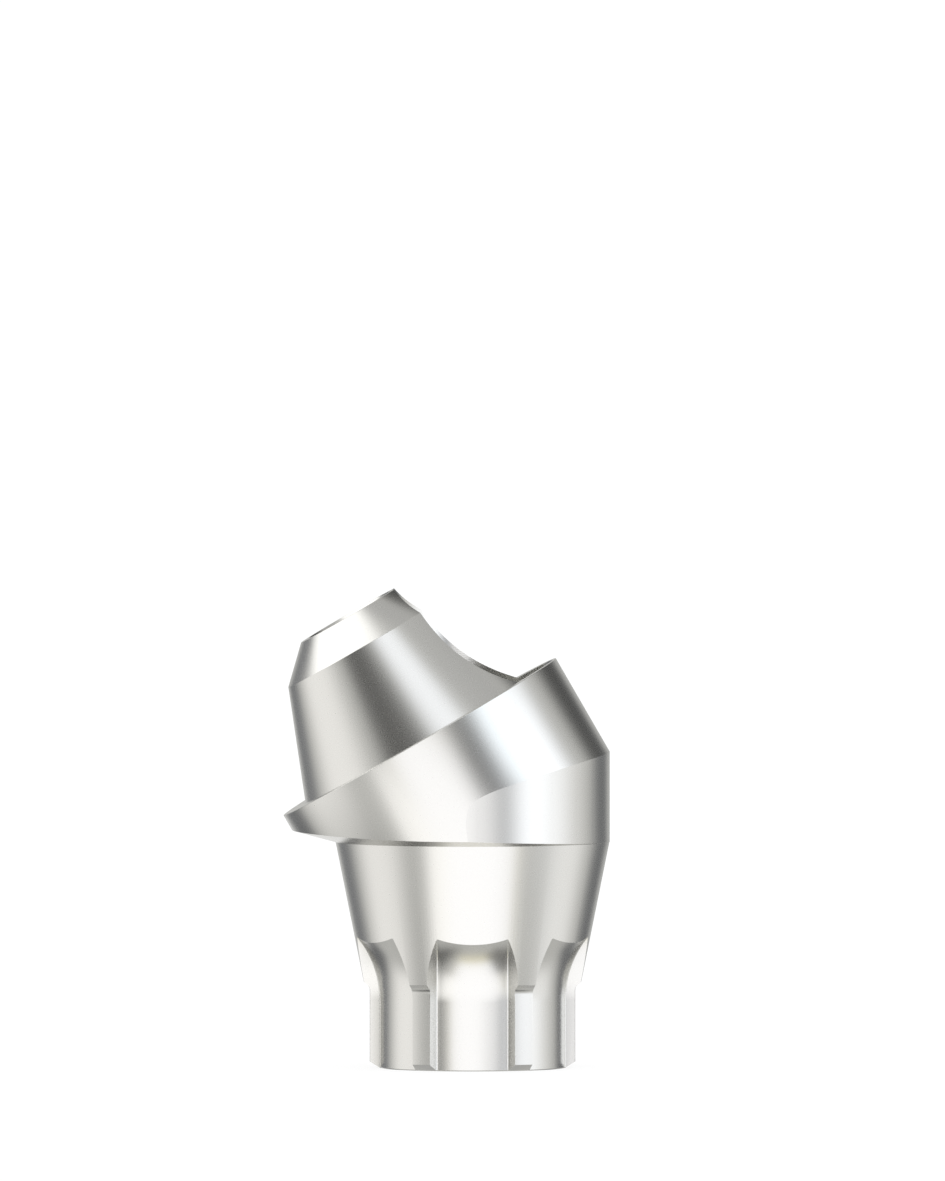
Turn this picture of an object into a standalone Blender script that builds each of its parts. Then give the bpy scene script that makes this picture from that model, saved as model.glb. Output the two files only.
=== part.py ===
"""Angled abutment for a screw-retained dental bridge, machined from one piece of titanium.

Metres, +Z up. The origin is on the axis of the implant connection, at its end face.
The head leans towards -X, and the part is symmetric about the plane y = 0.
"""

import math

import bmesh
import bpy
from mathutils import Matrix, Vector

# Implant connection, turned about the upright axis
RIDGE_RADIUS = 0.001569
END_FACE_RADIUS = 0.001416
END_CHAMFER_HEIGHT = 0.000096
CONE_START_RADIUS = 0.001660
CONE_START_HEIGHT = 0.001308
RELIEF_ANGLE = math.radians(38)          # slope of the step under the cone, from level
RELIEF_FILLET = 0.000120
SHOULDER_RADIUS = 0.002090
SHOULDER_HEIGHT = 0.003449
SHOULDER_RISE = math.radians(15)         # the underside of the head rises outwards

# Index grooves, milled into the connection and run out of the cone on an arc
GROOVE_COUNT = 6
GROOVE_FLOOR_RADIUS = 0.001421
GROOVE_FLOOR_WIDTH = 0.001088
GROOVE_CORNER_FILLET = 0.000025
GROOVE_STRAIGHT_HEIGHT = 0.001043
GROOVE_RUN_OUT_RADIUS = 0.001287
GROOVE_RUN_OUT_SWEEP = math.radians(64)
RIDGE_DRAFT = math.radians(12)           # each flank leans in to the ridge's centre plane

# Head, turned about an axis that leans from the upright one
LEAN = math.radians(30)
LEAN_HEIGHT = 0.003657                   # where the two axes cross
PLATFORM_RADIUS = 0.002400
PLATFORM_OFFSET = 0.001615               # from the crossing, along the leaning axis
PLATFORM_EDGE_BREAK = 0.000015
LEDGE_WIDTH = 0.000388
POST_TAPER = math.radians(21.57)
POST_HEIGHT = 0.002150
POST_CHAMFER_HEIGHT = 0.000493

# Upright wall behind the head, an arc set off the upright axis
WALL_STAND_OFF = 0.0000096               # its straight sides clear the platform by this
WALL_LEDGE = 0.000005                    # narrowest width of the shoulder, at the back

# Channel, seat and shank hole of the abutment screw, on the upright axis
CHANNEL_RADIUS = 0.001237
SEAT_HEIGHT = 0.002100
SHANK_HOLE_RADIUS = 0.001020
SHANK_HOLE_CHAMFER = 0.000070

# Tapped hole of the prosthetic screw, on the leaning axis
TAPPED_HOLE_RADIUS = 0.000560
MOUTH_RADIUS = 0.000680
MOUTH_DEPTH = 0.000150
TOP_RING_WIDTH = 0.000167

# Facets, and how far cutters pass the material
ROUND_STEPS = 96
HOLE_STEPS = 48
RUN_OUT_STEPS = 16
GROOVE_FLOOR_STEPS = 8
FILLET_STEPS = 3
OVERCUT = 0.0004
JOIN_GAP = 0.00005
SHARP_ANGLE = math.radians(18)

TITANIUM_COLOUR = (0.62, 0.61, 0.60, 1.0)
TITANIUM_ROUGHNESS = 0.32


def clear_scene():
    for item in list(bpy.data.objects):
        bpy.data.objects.remove(item, do_unlink=True)


def titanium():
    material = bpy.data.materials.new("machined_titanium")
    material.use_nodes = True
    shader = material.node_tree.nodes["Principled BSDF"]
    shader.inputs["Base Color"].default_value = TITANIUM_COLOUR
    shader.inputs["Metallic"].default_value = 1.0
    shader.inputs["Roughness"].default_value = TITANIUM_ROUGHNESS
    return material


def arc(centre, radius, start, end, steps):
    """Points from the start angle to the end angle, both of them included."""
    points = []
    for step in range(steps + 1):
        angle = start + (end - start) * step / steps
        points.append((centre[0] + radius * math.cos(angle), centre[1] + radius * math.sin(angle)))
    return points


def mesh_object(name, shape, placement=Matrix.Identity(4)):
    """Object made of a bmesh whose faces are turned outwards."""
    bmesh.ops.recalc_face_normals(shape, faces=shape.faces)
    shape.transform(placement)
    mesh = bpy.data.meshes.new(name)
    shape.to_mesh(mesh)
    shape.free()
    thing = bpy.data.objects.new(name, mesh)
    bpy.context.scene.collection.objects.link(thing)
    return thing


def turned(name, profile, steps, placement=Matrix.Identity(4)):
    """Solid of revolution: the profile is (radius, height) from axis to axis."""
    shape = bmesh.new()
    corners = [shape.verts.new((radius, 0, height)) for radius, height in profile]
    edges = [shape.edges.new(pair) for pair in zip(corners, corners[1:])]
    bmesh.ops.spin(
        shape,
        geom=corners + edges,
        axis=(0, 0, 1),
        cent=(0, 0, 0),
        angle=2 * math.pi,
        steps=steps,
        use_merge=True,
    )
    on_axis = [v for v in shape.verts if math.hypot(v.co.x, v.co.y) < 1e-9]
    bmesh.ops.remove_doubles(shape, verts=on_axis, dist=1e-7)
    return mesh_object(name, shape, placement)


def extruded(name, outline, low, high):
    """Upright prism over an (x, y) outline."""
    shape = bmesh.new()
    face = shape.faces.new([shape.verts.new((x, y, low)) for x, y in outline])
    top = bmesh.ops.extrude_face_region(shape, geom=[face])
    lifted = [item for item in top["geom"] if isinstance(item, bmesh.types.BMVert)]
    bmesh.ops.translate(shape, verts=lifted, vec=(0, 0, high - low))
    return mesh_object(name, shape)


def guide(thing, holder):
    """Keep a cutter in the file as a wire that isn't rendered."""
    thing.hide_render = True
    thing.display_type = "WIRE"
    thing.parent = holder
    return thing


def boolean(thing, operation, other):
    cut = thing.modifiers.new(other.name, "BOOLEAN")
    cut.operation = operation
    cut.solver = "EXACT"
    cut.object = other


def cone_radius(height):
    """Radius of the connection's cone at a height."""
    slope = (SHOULDER_RADIUS - CONE_START_RADIUS) / (SHOULDER_HEIGHT - CONE_START_HEIGHT)
    return CONE_START_RADIUS + (height - CONE_START_HEIGHT) * slope


def leaning_frame():
    """Placement of the head: its own Z runs up the leaning axis from the crossing."""
    return Matrix.Translation((0, 0, LEAN_HEIGHT)) @ Matrix.Rotation(-LEAN, 4, "Y")


def head_top():
    """Height that everything cut from above has to clear."""
    reach = PLATFORM_OFFSET + POST_HEIGHT
    return LEAN_HEIGHT + reach * math.cos(LEAN) + PLATFORM_RADIUS * math.sin(LEAN)


def stock_radius():
    """Radius that the head stays inside, about the upright axis."""
    return PLATFORM_RADIUS + (PLATFORM_OFFSET + POST_HEIGHT) * math.sin(LEAN) + OVERCUT


def relief_points():
    """Step from the ridges out to the cone, with a fillet in its inner corner."""
    half_turn = RELIEF_ANGLE / 2
    tangent = RELIEF_FILLET * math.tan(math.pi / 4 - half_turn)
    run = CONE_START_RADIUS - RIDGE_RADIUS
    corner = CONE_START_HEIGHT - run * math.tan(RELIEF_ANGLE)
    centre = (RIDGE_RADIUS + RELIEF_FILLET, corner - tangent)
    fillet = arc(centre, RELIEF_FILLET, math.pi, math.pi / 2 + RELIEF_ANGLE, FILLET_STEPS)
    return fillet + [(CONE_START_RADIUS, CONE_START_HEIGHT)]


def turned_blank():
    """Connection, cone and shoulder as one turning, with stock left for the head."""
    outer = stock_radius()
    shoulder_rim = SHOULDER_HEIGHT + (outer - SHOULDER_RADIUS) * math.tan(SHOULDER_RISE)
    top = head_top() + OVERCUT
    profile = [(0, 0), (END_FACE_RADIUS, 0), (RIDGE_RADIUS, END_CHAMFER_HEIGHT)]
    profile += relief_points()
    profile += [(SHOULDER_RADIUS, SHOULDER_HEIGHT), (outer, shoulder_rim), (outer, top), (0, top)]
    return turned("angled_abutment", profile, ROUND_STEPS)


def head_turning():
    """Platform and post, turned about the leaning axis and left long below."""
    depth = (LEAN_HEIGHT - SHOULDER_HEIGHT + PLATFORM_RADIUS * math.sin(LEAN)) / math.cos(LEAN)
    post_base = PLATFORM_RADIUS - LEDGE_WIDTH
    chamfer_start = POST_HEIGHT - POST_CHAMFER_HEIGHT
    post_edge = post_base - chamfer_start * math.tan(POST_TAPER)
    top = PLATFORM_OFFSET + POST_HEIGHT
    profile = [
        (0, -depth - OVERCUT),
        (PLATFORM_RADIUS, -depth - OVERCUT),
        (PLATFORM_RADIUS, PLATFORM_OFFSET - PLATFORM_EDGE_BREAK),
        (PLATFORM_RADIUS - PLATFORM_EDGE_BREAK, PLATFORM_OFFSET),
        (post_base, PLATFORM_OFFSET),
        (post_edge, PLATFORM_OFFSET + chamfer_start),
        (MOUTH_RADIUS + TOP_RING_WIDTH, top),
        (0, top),
    ]
    return turned("head_turning", profile, ROUND_STEPS, leaning_frame())


def wall_prism():
    """Upright wall: half a circle at the back, straight sides on towards the lean."""
    radius = PLATFORM_RADIUS + WALL_STAND_OFF
    centre_x = SHOULDER_RADIUS + WALL_LEDGE - radius
    outline = arc((centre_x, 0), radius, -math.pi / 2, math.pi / 2, ROUND_STEPS // 2)
    far_x = -stock_radius() - OVERCUT
    outline += [(far_x, radius), (far_x, -radius)]
    return extruded("wall_prism", outline, SHOULDER_HEIGHT - OVERCUT, head_top() + 2 * OVERCUT)


def stem_sleeve():
    """Leaves the connection whole where the head's envelope would cut it."""
    radius = stock_radius() + OVERCUT
    top = SHOULDER_HEIGHT - JOIN_GAP
    profile = [(0, -OVERCUT), (radius, -OVERCUT), (radius, top), (0, top)]
    return turned("stem_sleeve", profile, ROUND_STEPS)


def groove_section():
    """Half-open slot seen from above: the floor's arc, its corner fillets and the flanks."""
    half_width = GROOVE_FLOOR_WIDTH / 2
    floor_angle = math.asin(half_width / GROOVE_FLOOR_RADIUS)
    spread = math.pi / GROOVE_COUNT + RIDGE_DRAFT
    inner = GROOVE_FLOOR_RADIUS + GROOVE_CORNER_FILLET
    corner = Vector((GROOVE_FLOOR_RADIUS * math.cos(floor_angle), half_width))
    out = Vector((math.cos(spread), math.sin(spread)))
    to_slot = Vector((out.y, -out.x))
    # The fillet's centre is one fillet radius off the flank and off the floor.
    start = corner + to_slot * GROOVE_CORNER_FILLET
    along = start.dot(out)
    slide = -along + math.sqrt(along * along - start.length_squared + inner * inner)
    centre = start + out * slide
    floor_end = math.atan2(centre.y, centre.x)
    floor = arc((0, 0), GROOVE_FLOOR_RADIUS, 0, floor_end, GROOVE_FLOOR_STEPS // 2)
    turn = arc(
        centre,
        GROOVE_CORNER_FILLET,
        floor_end + math.pi,
        spread + math.pi / 2,
        FILLET_STEPS,
    )
    reach = cone_radius(GROOVE_STRAIGHT_HEIGHT + GROOVE_RUN_OUT_RADIUS)
    flank_end = corner + out * ((reach - corner.x) / out.x)
    half = floor[1:-1] + turn + [tuple(flank_end)]
    mirrored = [(x, -y) for x, y in reversed(half)]
    return mirrored + [floor[0]] + half


def groove_cutter(number):
    """Slot that runs straight up the ridges, then out of the cone on an arc."""
    shape = bmesh.new()
    section = [shape.verts.new((x, y, GROOVE_STRAIGHT_HEIGHT)) for x, y in groove_section()]
    face = shape.faces.new(section)
    lower = bmesh.ops.extrude_face_region(shape, geom=[face], use_keep_orig=True)
    lowered = [item for item in lower["geom"] if isinstance(item, bmesh.types.BMVert)]
    bmesh.ops.translate(shape, verts=lowered, vec=(0, 0, -GROOVE_STRAIGHT_HEIGHT - OVERCUT))
    bmesh.ops.spin(
        shape,
        geom=[face],
        axis=(0, 1, 0),
        cent=(GROOVE_FLOOR_RADIUS + GROOVE_RUN_OUT_RADIUS, 0, GROOVE_STRAIGHT_HEIGHT),
        angle=GROOVE_RUN_OUT_SWEEP,
        steps=RUN_OUT_STEPS,
    )
    bmesh.ops.delete(shape, geom=[face], context="FACES_ONLY")
    turn = Matrix.Rotation((number + 0.5) * 2 * math.pi / GROOVE_COUNT, 4, "Z")
    return mesh_object(f"groove_cutter_{number + 1}", shape, turn)


def channel_cutter():
    """Screw channel, conical seat and shank hole, bored down the upright axis."""
    top = head_top() + 2 * OVERCUT
    seat_drop = CHANNEL_RADIUS - SHANK_HOLE_RADIUS
    mouth = SHANK_HOLE_RADIUS + SHANK_HOLE_CHAMFER + OVERCUT
    profile = [
        (0, -OVERCUT),
        (mouth, -OVERCUT),
        (SHANK_HOLE_RADIUS, SHANK_HOLE_CHAMFER),
        (SHANK_HOLE_RADIUS, SEAT_HEIGHT - seat_drop),
        (CHANNEL_RADIUS, SEAT_HEIGHT),
        (CHANNEL_RADIUS, top),
        (0, top),
    ]
    return turned("channel_cutter", profile, ROUND_STEPS)


def tapped_hole_cutter():
    """Hole for the prosthetic screw, which breaks into the channel."""
    mouth_top = PLATFORM_OFFSET + POST_HEIGHT
    cone_height = MOUTH_RADIUS - TAPPED_HOLE_RADIUS
    profile = [
        (0, 0),
        (TAPPED_HOLE_RADIUS, 0),
        (TAPPED_HOLE_RADIUS, mouth_top - MOUTH_DEPTH - cone_height),
        (MOUTH_RADIUS, mouth_top - MOUTH_DEPTH),
        (MOUTH_RADIUS, mouth_top + OVERCUT),
        (0, mouth_top + OVERCUT),
    ]
    return turned("tapped_hole_cutter", profile, HOLE_STEPS, leaning_frame())


def head_envelope(holder):
    """What may remain of the blank: the leaning head inside the wall, and the whole stem."""
    head = guide(head_turning(), holder)
    boolean(head, "INTERSECT", guide(wall_prism(), holder))
    boolean(head, "UNION", guide(stem_sleeve(), holder))
    return head


def keep_cut_mesh(body):
    """Take the mesh as the cutters leave it, smooth with crisp machined edges."""
    depsgraph = bpy.context.evaluated_depsgraph_get()
    mesh = bpy.data.meshes.new_from_object(body.evaluated_get(depsgraph))
    body.modifiers.clear()
    body.data = mesh
    mesh.name = body.name
    mesh.shade_smooth()
    mesh.set_sharp_from_angle(angle=SHARP_ANGLE)


def build():
    clear_scene()
    holder = bpy.data.objects.new("cutters", None)
    bpy.context.scene.collection.objects.link(holder)
    body = turned_blank()
    body.data.materials.append(titanium())
    boolean(body, "INTERSECT", head_envelope(holder))
    for number in range(GROOVE_COUNT):
        boolean(body, "DIFFERENCE", guide(groove_cutter(number), holder))
    boolean(body, "DIFFERENCE", guide(channel_cutter(), holder))
    boolean(body, "DIFFERENCE", guide(tapped_hole_cutter(), holder))
    keep_cut_mesh(body)


build()
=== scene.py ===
import math

import bmesh
import bpy
from mathutils import Matrix, Vector


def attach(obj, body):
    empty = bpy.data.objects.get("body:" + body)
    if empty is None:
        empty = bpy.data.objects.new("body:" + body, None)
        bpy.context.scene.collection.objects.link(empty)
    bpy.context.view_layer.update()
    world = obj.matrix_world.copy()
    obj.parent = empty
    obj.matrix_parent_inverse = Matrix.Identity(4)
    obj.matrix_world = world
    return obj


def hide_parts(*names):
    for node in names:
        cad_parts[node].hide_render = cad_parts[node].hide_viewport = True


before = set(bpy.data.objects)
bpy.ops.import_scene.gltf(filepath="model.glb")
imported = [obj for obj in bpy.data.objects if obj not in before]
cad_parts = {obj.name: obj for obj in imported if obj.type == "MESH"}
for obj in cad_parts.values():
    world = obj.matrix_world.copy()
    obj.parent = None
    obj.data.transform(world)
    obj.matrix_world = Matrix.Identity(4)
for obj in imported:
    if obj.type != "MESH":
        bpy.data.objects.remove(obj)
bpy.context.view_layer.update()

# The abutment is drawn about two axes: the upright one of the implant connection,
# and one through the head that leans towards -X. Sizes are in millimetres and degrees.

mm = 0.001
overcut = 0.4                            # how far each cutter runs past what it cuts
touching = 0.0001                        # points nearer than this are one point
white = "#FFFFFF"


# Shape helpers

def arcPoints(centre, radius, start, end, count):
    middleX, middleY = centre
    points = []
    for i in range(count + 1):
        angle = math.radians(start + (end - start) * i / count)
        points.append((middleX + radius * math.cos(angle), middleY + radius * math.sin(angle)))
    return points


def roundedProfile(corners, count=4):
    # Each corner is (radius, height) or (radius, height, size of its rounding).
    points = []
    for i, corner in enumerate(corners):
        here = Vector(corner[:2])
        if len(corner) == 2:
            points.append(tuple(here))
            continue
        back = (Vector(corners[i - 1][:2]) - here).normalized()
        ahead = (Vector(corners[i + 1][:2]) - here).normalized()
        half = back.angle(ahead) / 2
        reach = corner[2] / math.tan(half)
        middle = here + (back + ahead).normalized() * corner[2] / math.sin(half)
        first = here + back * reach - middle
        last = here + ahead * reach - middle
        turn = first.angle_signed(last)
        for step in range(count + 1):
            spoke = first.copy()
            spoke.rotate(Matrix.Rotation(-turn * step / count, 2))
            points.append(tuple(middle + spoke))
    return points


def addPiece(name, shape, placement, material=None):
    # A tool without a material of its own leaves its name on each surface that it cuts.
    bmesh.ops.recalc_face_normals(shape, faces=shape.faces)
    for face in shape.faces:
        face.smooth = True
    shape.transform(placement @ Matrix.Scale(mm, 4))
    mesh = bpy.data.meshes.new(name)
    shape.to_mesh(mesh)
    shape.free()
    mesh.materials.append(material or bpy.data.materials.new(name))
    piece = bpy.data.objects.new(name, mesh)
    bpy.context.scene.collection.objects.link(piece)
    return piece


def lathe(name, profile, steps, placement=Matrix.Identity(4)):
    shape = bmesh.new()
    ring = [shape.verts.new((radius, 0, height)) for radius, height in profile]
    line = [shape.edges.new(pair) for pair in zip(ring, ring[1:])]
    full = math.radians(360)
    bmesh.ops.spin(shape, geom=ring + line, axis=(0, 0, 1), cent=(0, 0, 0), angle=full, steps=steps,
                   use_merge=True)
    poles = [v for v in shape.verts if math.hypot(v.co.x, v.co.y) < touching]
    bmesh.ops.remove_doubles(shape, verts=poles, dist=touching)
    return addPiece(name, shape, placement)


def prism(name, outline, low, high):
    shape = bmesh.new()
    face = shape.faces.new([shape.verts.new((x, y, low)) for x, y in outline])
    top = bmesh.ops.extrude_face_region(shape, geom=[face])
    lifted = [item for item in top["geom"] if isinstance(item, bmesh.types.BMVert)]
    bmesh.ops.translate(shape, verts=lifted, vec=(0, 0, high - low))
    return addPiece(name, shape, Matrix.Identity(4))


def cutBy(piece, operation, tool):
    step = piece.modifiers.new(tool.name, "BOOLEAN")
    step.operation = operation
    step.solver = "MANIFOLD"
    step.material_mode = "TRANSFER"
    step.object = tool


def applySteps(piece, tools):
    graph = bpy.context.evaluated_depsgraph_get()
    finished = bpy.data.meshes.new_from_object(piece.evaluated_get(graph))
    piece.modifiers.clear()
    piece.data = finished
    for tool in tools:
        bpy.data.objects.remove(tool, do_unlink=True)


# Node helper and colours

def hexColour(code):
    # sRGB hex to the linear colour that shaders take
    channels = [int(code[i:i + 2], 16) / 255 for i in (1, 3, 5)]
    linear = [c / 12.92 if c <= 0.04045 else ((c + 0.055) / 1.055) ** 2.4 for c in channels]
    return (*linear, 1.0)


def addNode(tree, kind, settings=None, links=None, **properties):
    # settings fill sockets and links join them to an output socket. A socket goes by its name,
    # or by its number where several on the node share a name.
    node = tree.nodes.new(kind)
    for name, value in properties.items():
        setattr(node, name, value)
    for socket, value in (settings or {}).items():
        node.inputs[socket].default_value = value
    for socket, source in (links or {}).items():
        tree.links.new(source, node.inputs[socket])
    return node


def newMaterial(name):
    material = bpy.data.materials.new(name)
    material.use_nodes = True
    material.node_tree.nodes.clear()
    return material


# Titanium alloy, turned and milled, then finely blasted: an even satin grey whose reflections
# are soft, with a grain so fine that it only shows where bright meets dark.

titanium = {
    "colour": "#E5E4E0",
    "roughness": 0.27,
    "sheenSpread": 0.022,                # roughness from the smoothest grain to the roughest
    "grain": 0.034,                      # mm across a pit, blasted with grit of about that size
    "grainDetail": 2.0,                  # finer pits within the pits
    "pitDepth": 0.000021,                # mm
    "boredRoughness": 0.22,
    "boringFeed": 0.030,                 # mm that the boring bar moves on in one turn
    "feedMarkDepth": 0.00006,            # mm
    "feedMarkWander": 0.4,               # how far the rings stray from true
    "feedMarkDetail": 1.0,
}

waveBand = 2 * math.pi / 20              # width of one band of a wave texture at scale 1


def blastedTitanium():
    material = newMaterial("blasted_titanium")
    tree = material.node_tree
    place = addNode(tree, "ShaderNodeTexCoord").outputs["Object"]
    grain = addNode(tree, "ShaderNodeTexNoise", {
        "Scale": 1 / (titanium["grain"] * mm),
        "Detail": titanium["grainDetail"],
    }, {"Vector": place})
    sheen = addNode(tree, "ShaderNodeMapRange", {
        "To Min": titanium["roughness"] - titanium["sheenSpread"] / 2,
        "To Max": titanium["roughness"] + titanium["sheenSpread"] / 2,
    }, {"Value": grain.outputs["Fac"]})
    pits = addNode(tree, "ShaderNodeBump", {"Distance": titanium["pitDepth"] * mm},
                   {"Height": grain.outputs["Fac"]})
    shader = addNode(tree, "ShaderNodeBsdfPrincipled", {
        "Base Color": hexColour(titanium["colour"]),
        "Metallic": 1.0,
    }, {"Roughness": sheen.outputs["Result"], "Normal": pits.outputs["Normal"]})
    addNode(tree, "ShaderNodeOutputMaterial", links={"Surface": shader.outputs["BSDF"]})
    return material


# Titanium alloy, bored or tapped and left as cut: a little brighter in its reflections, with
# close rings round the hole's axis where the tool moved on.

def boredTitanium(name, lean=0):
    material = newMaterial(name)
    tree = material.node_tree
    place = addNode(tree, "ShaderNodeTexCoord").outputs["Object"]
    upright = addNode(tree, "ShaderNodeMapping", {"Rotation": (0, math.radians(lean), 0)},
                      {"Vector": place})
    rings = addNode(tree, "ShaderNodeTexWave", {
        "Scale": waveBand / (titanium["boringFeed"] * mm),
        "Distortion": titanium["feedMarkWander"],
        "Detail": titanium["feedMarkDetail"],
    }, {"Vector": upright.outputs["Vector"]}, bands_direction="Z")
    sheen = addNode(tree, "ShaderNodeMapRange", {
        "To Min": titanium["boredRoughness"] - titanium["sheenSpread"],
        "To Max": titanium["boredRoughness"] + titanium["sheenSpread"],
    }, {"Value": rings.outputs["Fac"]})
    marks = addNode(tree, "ShaderNodeBump", {"Distance": titanium["feedMarkDepth"] * mm},
                    {"Height": rings.outputs["Fac"]})
    shader = addNode(tree, "ShaderNodeBsdfPrincipled", {
        "Base Color": hexColour(titanium["colour"]),
        "Metallic": 1.0,
    }, {"Roughness": sheen.outputs["Result"], "Normal": marks.outputs["Normal"]})
    addNode(tree, "ShaderNodeOutputMaterial", links={"Surface": shader.outputs["BSDF"]})
    return material


# The abutment's body

body = {
    "ridgeRadius": 1.569,
    "endFaceRadius": 1.416,
    "endChamferHeight": 0.096,
    "coneStartRadius": 1.660,
    "coneStartHeight": 1.308,
    "reliefAngle": 38,
    "reliefFillet": 0.120,
    "shoulderRadius": 2.090,
    "shoulderHeight": 3.449,
    "shoulderRise": 15,
    "lean": 30,
    "leanHeight": 3.657,
    "platformRadius": 2.400,
    "platformOffset": 1.615,
    "ledgeWidth": 0.388,
    "postTaper": 21.57,
    "postHeight": 2.150,
    "postChamferHeight": 0.493,
    "wallStandOff": 0.0096,              # back wall's radius beyond the platform's
    "wallLedge": 0.005,                  # step between the cone's top and the back wall
    "sleeveGap": 0.050,                  # the sleeve round the stem stops this far below the head
    "edgeBreak": 0.021,                  # rounding left on most outer edges
    "endBreak": 0.055,                   # on the end face's edge, which draws a thin line there
    "crispBreak": 0.008,                 # on edges that seat the bridge or the implant
    "steps": 288,
}

grooves = {
    "count": 6,
    "floorRadius": 1.421,
    "floorWidth": 1.088,
    "cornerFillet": 0.025,
    "endBreak": 0.015,                   # at the floor's lower end
    "straightHeight": 1.043,
    "runOutRadius": 1.287,
    "runOutSweep": 64,
    "ridgeDraft": 12,
    "steps": 48,
    "floorSteps": 24,
    "filletSteps": 6,
}

holes = {
    "channelRadius": 1.237,
    "seatHeight": 2.100,
    "shankRadius": 1.020,
    "shankChamfer": 0.070,
    "tappedRadius": 0.560,
    "mouthRadius": 0.680,
    "mouthDepth": 0.150,
    "mouthChamfer": 0.060,               # its far side catches the light above the top edge
    "topRingWidth": 0.167,
    "steps": 240,
}

thread = {
    "depth": 0.110,
    "pitch": 0.300,
    "crestFlat": 0.038,
    "flankAngle": 30,
    "stepsPerTurn": 72,
}


def leaningFrame():
    lift = Matrix.Translation((0, 0, body["leanHeight"] * mm))
    return lift @ Matrix.Rotation(math.radians(-body["lean"]), 4, "Y")


def headReach():
    return body["platformOffset"] + body["postHeight"]


def headTop():
    lean = math.radians(body["lean"])
    post = headReach() * math.cos(lean)
    return body["leanHeight"] + post + body["platformRadius"] * math.sin(lean)


def stockRadius():
    return body["platformRadius"] + headReach() * math.sin(math.radians(body["lean"])) + overcut


def turnedBlank():
    relief = math.tan(math.radians(body["reliefAngle"]))
    stepHeight = body["coneStartHeight"] - (body["coneStartRadius"] - body["ridgeRadius"]) * relief
    rim = stockRadius()
    rise = (rim - body["shoulderRadius"]) * math.tan(math.radians(body["shoulderRise"]))
    top = headTop() + overcut
    profile = roundedProfile([
        (0, 0),
        (body["endFaceRadius"], 0, body["endBreak"]),
        (body["ridgeRadius"], body["endChamferHeight"], body["crispBreak"]),
        (body["ridgeRadius"], stepHeight, body["reliefFillet"]),
        (body["coneStartRadius"], body["coneStartHeight"], body["edgeBreak"]),
        (body["shoulderRadius"], body["shoulderHeight"]),
        (rim, body["shoulderHeight"] + rise),
        (rim, top),
        (0, top),
    ])
    return lathe("machined_abutment", profile, body["steps"])


def turnedHead():
    lean = math.radians(body["lean"])
    drop = body["leanHeight"] - body["shoulderHeight"] + body["platformRadius"] * math.sin(lean)
    depth = drop / math.cos(lean) + overcut
    postBase = body["platformRadius"] - body["ledgeWidth"]
    chamferStart = body["postHeight"] - body["postChamferHeight"]
    postEdge = postBase - chamferStart * math.tan(math.radians(body["postTaper"]))
    base = body["platformOffset"]
    ring = holes["mouthRadius"] + holes["topRingWidth"]
    crisp = body["crispBreak"]
    profile = roundedProfile([
        (0, -depth),
        (body["platformRadius"], -depth),
        (body["platformRadius"], base, crisp),
        (postBase, base),
        (postEdge, base + chamferStart, body["edgeBreak"]),
        (ring, headReach(), crisp),
        (0, headReach()),
    ])
    return lathe("turned_head", profile, body["steps"], leaningFrame())


def backWall():
    radius = body["platformRadius"] + body["wallStandOff"]
    centre = (body["shoulderRadius"] + body["wallLedge"] - radius, 0)
    outline = arcPoints(centre, radius, -90, 90, body["steps"] // 2)
    farX = -stockRadius() - overcut
    outline += [(farX, radius), (farX, -radius)]
    return prism("back_wall", outline, body["shoulderHeight"] - overcut, headTop() + 2 * overcut)


def stemSleeve():
    # It keeps the stem whole while the head is trimmed to its own shape.
    radius = stockRadius() + overcut
    top = body["shoulderHeight"] - body["sleeveGap"]
    profile = [(0, -overcut), (radius, -overcut), (radius, top), (0, top)]
    return lathe("stem_sleeve", profile, body["steps"])


def grooveSection():
    # Half a slot seen from above is floor arc, corner fillet and flank, then it is mirrored.
    floor = grooves["floorRadius"]
    fillet = grooves["cornerFillet"]
    halfWidth = grooves["floorWidth"] / 2
    spread = 180 / grooves["count"] + grooves["ridgeDraft"]
    cornerAngle = math.asin(halfWidth / floor)
    corner = Vector((floor * math.cos(cornerAngle), halfWidth))
    out = Vector((math.cos(math.radians(spread)), math.sin(math.radians(spread))))
    inward = Vector((out.y, -out.x))
    start = corner + inward * fillet
    along = start.dot(out)
    slide = -along + math.sqrt(along ** 2 - start.length_squared + (floor + fillet) ** 2)
    centre = start + out * slide
    floorEnd = math.degrees(math.atan2(centre.y, centre.x))
    floorArc = arcPoints((0, 0), floor, 0, floorEnd, grooves["floorSteps"] // 2)
    filletArc = arcPoints(centre, fillet, floorEnd + 180, spread + 90, grooves["filletSteps"])
    coneHeight = body["shoulderHeight"] - body["coneStartHeight"]
    slope = (body["shoulderRadius"] - body["coneStartRadius"]) / coneHeight
    exitHeight = grooves["straightHeight"] + grooves["runOutRadius"]
    reach = body["coneStartRadius"] + (exitHeight - body["coneStartHeight"]) * slope
    flankEnd = corner + out * ((reach - corner.x) / out.x)
    half = floorArc[1:-1] + filletArc + [tuple(flankEnd)]
    return [(x, -y) for x, y in reversed(half)] + [floorArc[0]] + half


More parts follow.
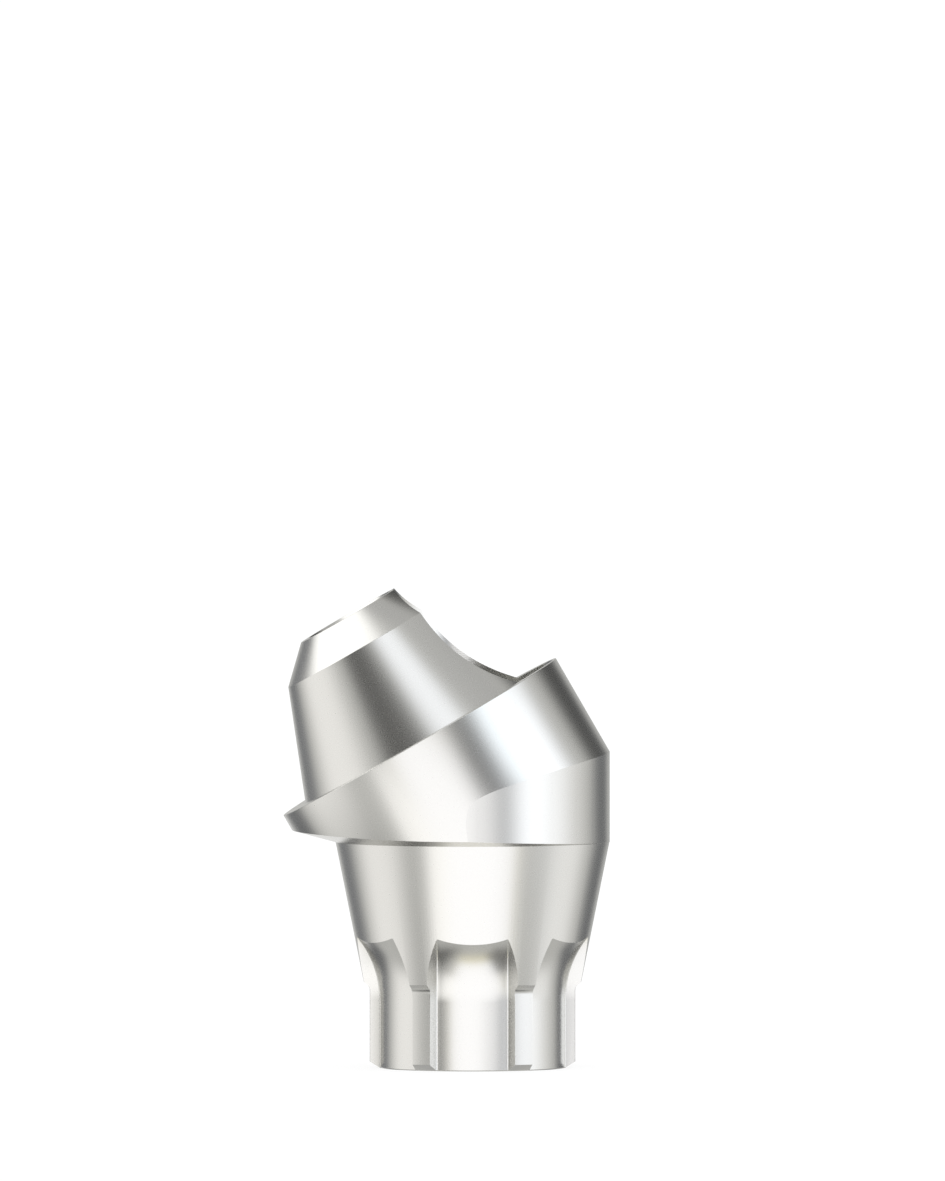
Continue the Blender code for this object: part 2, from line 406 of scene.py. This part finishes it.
def grooveCutter(number):
    # Straight from below the end face, where it leans in to break the floor's edge, then swept
    # outwards round the run-out.
    shape = bmesh.new()
    straight = grooves["straightHeight"]
    small = grooves["endBreak"]
    levels = [(straight, 0), (small, 0), (-overcut, overcut + small)]
    section = grooveSection()
    rings = [[shape.verts.new((x - inset, y, z)) for x, y in section] for z, inset in levels]
    face = shape.faces.new(rings[0])
    shape.faces.new(rings[-1])
    for high, low in zip(rings, rings[1:]):
        for k in range(len(high)):
            shape.faces.new((high[k], high[k - 1], low[k - 1], low[k]))
    pivot = (grooves["floorRadius"] + grooves["runOutRadius"], 0, straight)
    sweep = math.radians(grooves["runOutSweep"])
    bmesh.ops.spin(shape, geom=[face], axis=(0, 1, 0), cent=pivot, angle=sweep,
                   steps=grooves["steps"])
    bmesh.ops.delete(shape, geom=[face], context="FACES_ONLY")
    between = (number + 0.5) * 360 / grooves["count"]    # so that a ridge points along +X
    turn = Matrix.Rotation(math.radians(between), 4, "Z")
    return addPiece(f"groove_cutter_{number}", shape, turn)


def channelCutter():
    small = body["edgeBreak"]
    shank = holes["shankRadius"]
    channel = holes["channelRadius"]
    top = headTop() + 2 * overcut
    profile = roundedProfile([
        (0, -overcut),
        (shank + holes["shankChamfer"] + overcut, -overcut),
        (shank, holes["shankChamfer"]),
        (shank, holes["seatHeight"] - channel + shank, small),
        (channel, holes["seatHeight"], small),
        (channel, top),
        (0, top),
    ])
    return lathe("channel_cutter", profile, holes["steps"])


def tappedHoleCutter():
    top = headReach()
    mouth = holes["mouthRadius"]
    tapped = holes["tappedRadius"]
    seat = top - holes["mouthDepth"]
    chamfer = holes["mouthChamfer"]
    profile = [
        (0, 0),
        (tapped, 0),
        (tapped, seat - mouth + tapped),
        (mouth, seat),
        (mouth, top - chamfer),
        (mouth + chamfer + overcut, top + overcut),
        (0, top + overcut),
    ]
    return lathe("tapped_hole_cutter", profile, holes["steps"] // 2, leaningFrame())


def threadCutter():
    # One V-shaped groove wound up the tapped hole and closed at both ends. The cutter starts
    # a third of its depth inside the hole, so that it cuts the whole wall.
    inner = holes["tappedRadius"] - thread["depth"] / 3
    outer = holes["tappedRadius"] + thread["depth"]
    crest = thread["crestFlat"] / 2
    foot = crest + (outer - inner) * math.tan(math.radians(thread["flankAngle"]))
    section = [(inner, -foot), (outer, -crest), (outer, crest), (inner, foot)]
    top = headReach() - holes["mouthDepth"]
    turns = math.ceil((top - thread["pitch"]) / thread["pitch"])
    count = turns * thread["stepsPerTurn"]
    shape = bmesh.new()
    rings = []
    for i in range(count + 1):
        angle = math.radians(360 * i / thread["stepsPerTurn"])
        rise = top - thread["pitch"] * (turns - i / thread["stepsPerTurn"])
        rings.append([shape.verts.new((r * math.cos(angle), r * math.sin(angle), rise + z))
                      for r, z in section])
    shape.faces.new(rings[0])
    shape.faces.new(rings[-1])
    for low, high in zip(rings, rings[1:]):
        for k in range(len(section)):
            shape.faces.new((low[k], low[k - 1], high[k - 1], high[k]))
    return addPiece("thread_cutter", shape, leaningFrame())


def crispEdges(piece, sharpest=25):
    # Lines between two cuts stay crisp however flatly they meet, and small roundings stay smooth.
    limit = math.radians(sharpest)
    shape = bmesh.new()
    shape.from_mesh(piece.data)
    for edge in shape.edges:
        cuts = {face.material_index for face in edge.link_faces}
        edge.smooth = len(cuts) == 1 and edge.calc_face_angle() < limit
    shape.to_mesh(piece.data)
    shape.free()
    even = piece.modifiers.new("even_shading", "WEIGHTED_NORMAL")
    even.keep_sharp = True


def makeBody():
    blank = turnedBlank()
    head = turnedHead()
    wall = backWall()
    sleeve = stemSleeve()
    cutBy(head, "INTERSECT", wall)
    cutBy(head, "UNION", sleeve)
    cutBy(blank, "INTERSECT", head)
    cutters = [grooveCutter(number) for number in range(grooves["count"])]
    cutters += [channelCutter(), tappedHoleCutter(), threadCutter()]
    for cutter in cutters:
        cutBy(blank, "DIFFERENCE", cutter)
    applySteps(blank, [head, wall, sleeve] + cutters)
    crispEdges(blank)
    satin = blastedTitanium()
    bored = boredTitanium("bored_titanium")
    tapped = boredTitanium("tapped_titanium", body["lean"])
    asCut = {"channel_cutter": bored, "tapped_hole_cutter": tapped, "thread_cutter": tapped}
    for slot in blank.material_slots:
        slot.material = asCut.get(slot.material.name, satin)
    return blank


abutment = makeBody()
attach(abutment, "root")
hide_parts("angled_abutment")
print("abutment built,", len(abutment.data.polygons), "faces")


# Camera. The photograph is nearly without perspective, so the lens is long.

camera = {
    "elevation": 1.75,
    "lens": 1300,
    "sensor": 36,
    "frameHeight": 18.03,                # millimetres seen from top to bottom
    "aim": 7.284,                        # middle of the frame, up from the end face
    "nearest": 10,                       # nothing nearer or farther than these two is drawn
    "farthest": 10000,
}


def placeCamera():
    data = bpy.data.cameras.new("photo_camera")
    data.lens = camera["lens"]
    data.sensor_width = camera["sensor"]
    distance = camera["frameHeight"] * camera["lens"] / camera["sensor"]
    pitch = math.radians(camera["elevation"])
    back = Vector((0, -math.cos(pitch), math.sin(pitch)))
    up = Vector((0, math.sin(pitch), math.cos(pitch)))
    thing = bpy.data.objects.new("photo_camera", data)
    bpy.context.scene.collection.objects.link(thing)
    thing.location = (up * camera["aim"] + back * distance) * mm
    thing.rotation_euler = (math.radians(90) - pitch, 0, 0)
    data.clip_start = camera["nearest"] * mm
    data.clip_end = camera["farthest"] * mm
    bpy.context.scene.camera = thing


placeCamera()
print("camera placed")


# Studio

studio = {
    "surround": "#C9C9C7",               # walls of the studio between the cards
    "floorSize": 4000,
    "floorColour": "#707070",
    "floorGlow": 0.85,                   # lit from below as well, so that hardly a shadow shows
    "floorLight": 1.25,                  # what the floor gets from the studio
    "lightMap": 256,                     # fine enough for cards this soft, and quick to prepare
}

# Cards around the abutment, white ones that light it and black ones that draw its dark bands.
# Azimuth is counted from the camera towards +X and elevation from the horizon, in degrees.
# Each card: azimuth, elevation, width, height, blur of its edge, brightness, tint. A later card
# stands in front of an earlier one.
cards = {
    "backGlow": (-176, -14, 24, 20, 8, 1.0, "#FFFFFF"),
    "underFlag": (180, -58, 100, 24, 8, 0.45, "#FFFFFF"),
    "roof": (-155, 78, 80, 26, 8, 0.47, "#FFFFFF"),
    "leftWall": (-90, -7, 46, 46, 22, 1.05, "#FFFEFD"),
    "leftTop": (-100, 45, 58, 50, 6, 1.55, "#FFFFFF"),
    "leftBackFlag": (-142, -6, 29, 60, 14, 0.21, "#F6F9FF"),
    "leftTipFlag": (-140, -26, 28, 18, 8, 0.15, "#F6F9FF"),
    "leftFrontFlag": (-32, 16, 42, 44, 6, 0.03, "#FFFFFF"),
    "frontHalo": (6, -26, 72, 86, 10, 0.9, "#FFF7D2"),
    "front": (6, -21, 68, 76, 8, 1.39, "#FCFCFF"),
    "frontLeft": (-33, -21, 18, 30, 6, 1.4, "#FFFEFD"),
    "frontTop": (3, 50, 42, 19, 10, 1.5, "#F6F9FF"),
    "rightFrontFlag": (30, 16, 30, 26, 16, 0.05, "#FFFFFF"),
    "rightHalo": (62, 16, 60, 54, 12, 0.45, "#F6F9FF"),
    "right": (70, 15, 47, 56, 20, 1.6, "#F6F9FF"),
    "rightRim": (54, 30, 34, 20, 8, 1.7, "#EFF7FF"),
    "rightLow": (92, -16, 36, 32, 22, 1.0, "#FFFFFF"),
    "rightBackFlag": (141, -10, 29, 62, 14, 0.16, "#F6F9FF"),
    "lowLeftFlag": (-64, -54, 30, 40, 30, 0.0, "#FFFFFF"),
    "lowRightFlag": (58, -53, 44, 30, 8, 0.15, "#FFFEFB"),
    "topRightFlag": (72, 56, 64, 16, 4, 0.45, "#FFFFFF"),
    "backTopFlag": (140, 34, 38, 44, 22, 0.05, "#FFFFFF"),
    "backFlag": (172, 45, 14, 36, 6, 0.0, "#FFFFFF"),
}


def addCard(tree, way, behind, card):
    # way is the direction as (azimuth, elevation), and behind the light of what the card covers
    azimuth, elevation, width, height, blur, brightness, tint = card
    halfTurn = Vector((180, 180, 180))
    offset = addNode(tree, "ShaderNodeVectorMath", {1: (azimuth, elevation, 0)}, {0: way},
                     operation="SUBTRACT")
    turned = addNode(tree, "ShaderNodeVectorMath", {1: halfTurn, 2: -halfTurn},
                     {0: offset.outputs[0]}, operation="WRAP")
    away = addNode(tree, "ShaderNodeVectorMath", links={0: turned.outputs[0]},
                   operation="ABSOLUTE")
    fade = addNode(tree, "ShaderNodeMapRange", {
        7: ((width - blur) / 2, (height - blur) / 2, -1),
        8: ((width + blur) / 2, (height + blur) / 2, 1),
        9: (1, 1, 1),
        10: (0, 0, 0),
    }, {6: away.outputs[0]}, data_type="FLOAT_VECTOR", interpolation_type="SMOOTHSTEP")
    sides = addNode(tree, "ShaderNodeSeparateXYZ", links={0: fade.outputs[1]})
    mask = addNode(tree, "ShaderNodeMath", links={0: sides.outputs[0], 1: sides.outputs[1]},
                   operation="MULTIPLY")
    light = [channel * brightness for channel in hexColour(tint)[:3]]
    return addNode(tree, "ShaderNodeMix", {7: (*light, 1.0)}, {0: mask.outputs[0], 6: behind},
                   data_type="RGBA", clamp_result=False).outputs[2]


def makeWorld():
    world = bpy.data.worlds.new("studio")
    world.use_nodes = True
    tree = world.node_tree
    tree.nodes.clear()
    way = addNode(tree, "ShaderNodeTexCoord").outputs["Generated"]
    axes = addNode(tree, "ShaderNodeSeparateXYZ", links={"Vector": way})
    towards = addNode(tree, "ShaderNodeMath", {1: -1.0}, {0: axes.outputs["Y"]},
                      operation="MULTIPLY")
    around = addNode(tree, "ShaderNodeMath", links={0: axes.outputs["X"], 1: towards.outputs[0]},
                     operation="ARCTAN2")
    above = addNode(tree, "ShaderNodeMath", links={0: axes.outputs["Z"]}, operation="ARCSINE")
    angles = addNode(tree, "ShaderNodeCombineXYZ",
                     links={0: around.outputs[0], 1: above.outputs[0]})
    degrees = addNode(tree, "ShaderNodeVectorMath", {"Scale": math.degrees(1)},
                      {0: angles.outputs[0]}, operation="SCALE")
    room = addNode(tree, "ShaderNodeRGB")
    room.outputs[0].default_value = hexColour(studio["surround"])
    light = room.outputs[0]
    for card in cards.values():
        light = addCard(tree, degrees.outputs[0], light, card)
    # The metal mirrors the cards, the floor is lit evenly, and the camera sees plain white.
    seen = addNode(tree, "ShaderNodeLightPath")
    cardLight = addNode(tree, "ShaderNodeBackground", links={"Color": light})
    backdrop = addNode(tree, "ShaderNodeBackground", {"Color": hexColour(white)})
    spread = addNode(tree, "ShaderNodeBackground", {
        "Color": hexColour(white),
        "Strength": studio["floorLight"],
    })
    matte = addNode(tree, "ShaderNodeMixShader", links={
        "Fac": seen.outputs["Is Diffuse Ray"],
        1: cardLight.outputs[0],
        2: spread.outputs[0],
    })
    whole = addNode(tree, "ShaderNodeMixShader", links={
        "Fac": seen.outputs["Is Camera Ray"],
        1: matte.outputs[0],
        2: backdrop.outputs[0],
    })
    addNode(tree, "ShaderNodeOutputWorld", links={"Surface": whole.outputs[0]})
    world.cycles.sampling_method = "MANUAL"
    world.cycles.sample_map_resolution = studio["lightMap"]
    bpy.context.scene.world = world


def makeFloor():
    shape = bmesh.new()
    bmesh.ops.create_grid(shape, x_segments=1, y_segments=1, size=studio["floorSize"] / 2)
    material = newMaterial("pale_floor")
    tree = material.node_tree
    paint = addNode(tree, "ShaderNodeBsdfDiffuse", {"Color": hexColour(studio["floorColour"])})
    glow = addNode(tree, "ShaderNodeEmission", {
        "Color": hexColour(white),
        "Strength": studio["floorGlow"],
    })
    table = addNode(tree, "ShaderNodeAddShader",
                    links={0: paint.outputs["BSDF"], 1: glow.outputs["Emission"]})
    addNode(tree, "ShaderNodeOutputMaterial", links={"Surface": table.outputs["Shader"]})
    floor = addPiece("floor", shape, Matrix.Identity(4), material)
    floor.visible_glossy = False


makeFloor()
makeWorld()
bpy.context.scene.view_settings.view_transform = "Standard"
print("studio lit")
